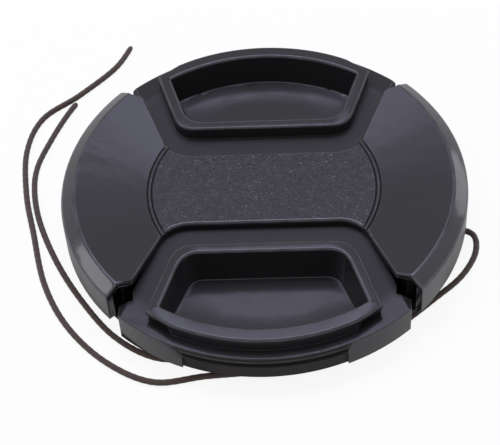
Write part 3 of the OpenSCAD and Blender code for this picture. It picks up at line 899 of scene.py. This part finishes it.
# %% [markdown]
# ## Springs
# Two small compression springs push each lever outwards. A spring follows a rule: even turns in
# the middle and one closed turn at each end. It could be screwed from a profile, but the closed
# ends need their own pitch, so Geometry Nodes bend a line by the number of the turn and sweep a
# round wire along it.

# %% Drawn wire
WIRE_BRIGHT, WIRE_DARK, DRAW_MARK = (0.62, 0.62, 0.64, 1), (0.42, 0.42, 0.43, 1), 0.12 * MM


def steel_wire():
    """Bright drawn steel with faint marks from the die."""
    material, tree, shader, place = new_material("spring_wire", 0.5)
    drawn = add_node(tree, "ShaderNodeTexNoise")
    feed(tree, drawn.inputs["Vector"], place)
    feed(tree, drawn.inputs["Scale"], 1 / DRAW_MARK)
    feed(tree, drawn.inputs["Detail"], 3.0)
    marks = drawn.outputs["Fac"]
    feed(tree, shader.inputs["Base Color"], mix_colour(tree, marks, WIRE_BRIGHT, WIRE_DARK))
    feed(tree, shader.inputs["Roughness"], spread(tree, marks, 0.2, 0.42))
    feed(tree, shader.inputs["Normal"], bump(tree, marks, 0.01 * MM, 0.4))
    shader.inputs["Metallic"].default_value = 1.0
    return material


spring_wire = steel_wire()
print("material", spring_wire.name)

# %% Spring by Geometry Nodes
TURN_STEPS, WIRE_SIDES = 24, 12


def spring_group():
    """Round wire along a line that is wound into even turns with one closed turn at each end."""
    group, given, result = start_group(
        "closed_end_spring", "GeometryNodeTree",
        [("Geometry", "NodeSocketGeometry", None), ("Foot", "NodeSocketVector", None),
         ("Coil Radius", "NodeSocketFloat", 1.0 * MM), ("Wire Radius", "NodeSocketFloat", 0.2 * MM),
         ("Turns", "NodeSocketFloat", 8.0), ("Length", "NodeSocketFloat", 10.0 * MM),
         ("Closed Pitch", "NodeSocketFloat", 0.4 * MM), ("Side", "NodeSocketFloat", 1.0),
         ("Steps", "NodeSocketInt", TURN_STEPS), ("Material", "NodeSocketMaterial", None)],
        [("Geometry", "NodeSocketGeometry")])
    one_less = calc(group, "SUBTRACT", given["Turns"], 1.0)
    count = calc(group, "ADD", calc(group, "MULTIPLY", given["Turns"], given["Steps"]), 1.0)
    line = add_node(group, "GeometryNodeCurvePrimitiveLine")
    fine = add_node(group, "GeometryNodeResampleCurve", mode="COUNT")
    feed(group, fine.inputs["Curve"], line.outputs["Curve"])
    feed(group, fine.inputs["Count"], count)
    index = add_node(group, "GeometryNodeInputIndex").outputs[0]
    turn = calc(group, "DIVIDE", index, given["Steps"])
    angle = calc(group, "MULTIPLY", turn, 2 * math.pi)
    closed_ends = calc(group, "ADD", calc(group, "MINIMUM", turn, 1.0),
                       calc(group, "MAXIMUM", calc(group, "SUBTRACT", turn, one_less), 0.0))
    open_turns = calc(group, "SUBTRACT", turn, closed_ends)
    thick = calc(group, "MULTIPLY", given["Wire Radius"], 2.0)
    room = calc(group, "SUBTRACT", given["Length"], thick)
    room = calc(group, "SUBTRACT", room, calc(group, "MULTIPLY", given["Closed Pitch"], 2.0))
    pitch = calc(group, "DIVIDE", room, calc(group, "SUBTRACT", one_less, 1.0))
    along = calc(group, "ADD", calc(group, "MULTIPLY", closed_ends, given["Closed Pitch"]),
                 calc(group, "MULTIPLY", open_turns, pitch))
    along = calc(group, "MULTIPLY", calc(group, "ADD", along, given["Wire Radius"]), given["Side"])
    across = calc(group, "MULTIPLY", calc(group, "COSINE", angle), given["Coil Radius"])
    across = calc(group, "MULTIPLY", across, given["Side"])
    upward = calc(group, "MULTIPLY", calc(group, "SINE", angle), given["Coil Radius"])
    spot = add_node(group, "ShaderNodeCombineXYZ")
    for socket, value in zip(spot.inputs, (across, along, upward)):
        feed(group, socket, value)
    place = add_node(group, "GeometryNodeSetPosition")
    feed(group, place.inputs["Geometry"], fine.outputs["Curve"])
    feed(group, place.inputs["Position"],
         calc(group, "ADD", given["Foot"], spot.outputs[0], kind="ShaderNodeVectorMath"))
    ring = add_node(group, "GeometryNodeCurvePrimitiveCircle")
    feed(group, ring.inputs["Resolution"], WIRE_SIDES)
    feed(group, ring.inputs["Radius"], given["Wire Radius"])
    wire = add_node(group, "GeometryNodeCurveToMesh")
    feed(group, wire.inputs["Curve"], place.outputs["Geometry"])
    feed(group, wire.inputs["Profile Curve"], ring.outputs["Curve"])
    feed(group, wire.inputs["Fill Caps"], True)
    end_group(group, wire.outputs["Mesh"], given["Material"], result["Geometry"])
    return group


closed_end_spring = spring_group()
print("nodes in the spring tree:", len(closed_end_spring.nodes))

# %% The four springs
SPRING_D, WIRE_D, TURNS, SEAT_Y, RIB_Y, SEAT_GAP, TRAVEL = 2.5, 0.35, 8, 11.15, 0.6, 0.05, 2.3
SPRING_X, CLOSED_PITCH = 7, 1.15
spring_length = (SEAT_Y - RIB_Y - 2 * SEAT_GAP) * MM
springs = []
for lever, side, joint in (("near", -1, "near_lever_slide"), ("far", 1, "far_lever_slide")):
    for hand, x in (("left", -SPRING_X), ("right", SPRING_X)):
        node = f"spring_{lever}_{hand}"
        low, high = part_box(node)
        height = (low[2] + high[2]) / 2
        foot_y = side * (RIB_Y + SEAT_GAP) * MM
        spring = apply_nodes("coil_" + node, closed_end_spring, {
            "Foot": (x * MM, foot_y, height), "Coil Radius": (SPRING_D - WIRE_D) / 2 * MM,
            "Wire Radius": WIRE_D / 2 * MM, "Turns": float(TURNS), "Length": spring_length,
            "Closed Pitch": CLOSED_PITCH * WIRE_D * MM, "Side": float(side), "Steps": TURN_STEPS,
            "Material": spring_wire})
        smooth_outward(spring.data)
        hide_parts(node)
        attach(spring, "cap")
        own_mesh(spring)
        springs.append(spring)
print("springs:", [s.name for s in springs], "length", round(spring_length / MM, 2), "mm")

# %% [markdown]
# ## Floor and light
# The cap lies on a white floor under soft studio light. The world and the floor show white to the
# camera and in reflections. One wide soft lamp with a bright core hangs above and behind the cap,
# so that its flat faces carry a gentle sheen that grows towards the back, and a smaller softbox on
# each side lights the edges that face it.

# %% Floor and world
FLOOR_SIZE, FLOOR_WHITE, FLOOR_SHOWN, WORLD_FILL, WORLD_SHOWN = 4, 0.9, 0.9, 0.4, 1.0


def ray_mix(tree):
    """1 for rays from the camera, reflections and glass, and 0 for light that falls on things."""
    path = add_node(tree, "ShaderNodeLightPath")
    seen = calc(tree, "ADD", path.outputs["Is Camera Ray"], path.outputs["Is Glossy Ray"])
    seen = calc(tree, "ADD", seen, path.outputs["Is Transmission Ray"])
    return calc(tree, "MINIMUM", seen, 1.0)


bpy.ops.mesh.primitive_plane_add(size=FLOOR_SIZE)
floor = bpy.context.object
floor.name = "floor"
floor_paint = bpy.data.materials.new("white_floor")
floor_paint.use_nodes = True
tree = floor_paint.node_tree
paint = tree.nodes["Principled BSDF"]
paint.inputs["Base Color"].default_value = (FLOOR_WHITE, FLOOR_WHITE, FLOOR_WHITE, 1)
paint.inputs["Roughness"].default_value = 0.9
paint.inputs["Specular IOR Level"].default_value = 0.0
glow = add_node(tree, "ShaderNodeEmission")
mix = add_node(tree, "ShaderNodeMixShader")
feed(tree, mix.inputs[0], calc(tree, "MULTIPLY", ray_mix(tree), FLOOR_SHOWN))
feed(tree, mix.inputs[1], paint.outputs[0])
feed(tree, mix.inputs[2], glow.outputs[0])
feed(tree, tree.nodes["Material Output"].inputs["Surface"], mix.outputs[0])
floor.data.materials.append(floor_paint)

world = bpy.data.worlds.new("studio")
bpy.context.scene.world = world
world.use_nodes = True
tree = world.node_tree
fill = tree.nodes["Background"]
fill.inputs["Color"].default_value = (1, 1, 1, 1)
feed(tree, fill.inputs["Strength"], spread(tree, ray_mix(tree), WORLD_FILL, WORLD_SHOWN))
print("floor", FLOOR_SIZE, "m wide, world", world.name)

# %% Softboxes
def add_softbox(name, place, width, depth, energy, colour):
    """A soft rectangular lamp that is turned to the middle of the cap."""
    data = bpy.data.lights.new(name, "AREA")
    data.shape = "RECTANGLE"
    data.size, data.size_y, data.energy, data.color = width, depth, energy, colour
    lamp = bpy.data.objects.new(name, data)
    bpy.context.scene.collection.objects.link(lamp)
    turn = Vector(place).to_track_quat("Z", "Y").to_matrix().to_4x4()
    lamp.matrix_world = Matrix.Translation(Vector(place)) @ turn
    radiance = energy / (math.pi * width * depth)
    print(name, "radiance", round(radiance, 2))


add_softbox("top_softbox", (-0.05, 0.299, 0.763), 0.6, 0.46, 3.7, (0.76, 0.76, 1.0))
add_softbox("bright_core", (-0.02, 0.25, 0.72), 0.4, 0.1, 1.1, (0.85, 0.85, 1.0))
add_softbox("left_softbox", (-0.85, 0.1, 0.65), 0.5, 0.35, 1.5, (1.0, 1.0, 1.0))
add_softbox("right_softbox", (0.72, 0.6, 0.32), 0.35, 0.25, 0.5, (1.0, 1.0, 1.0))
bpy.context.scene.view_settings.view_transform = "Standard"
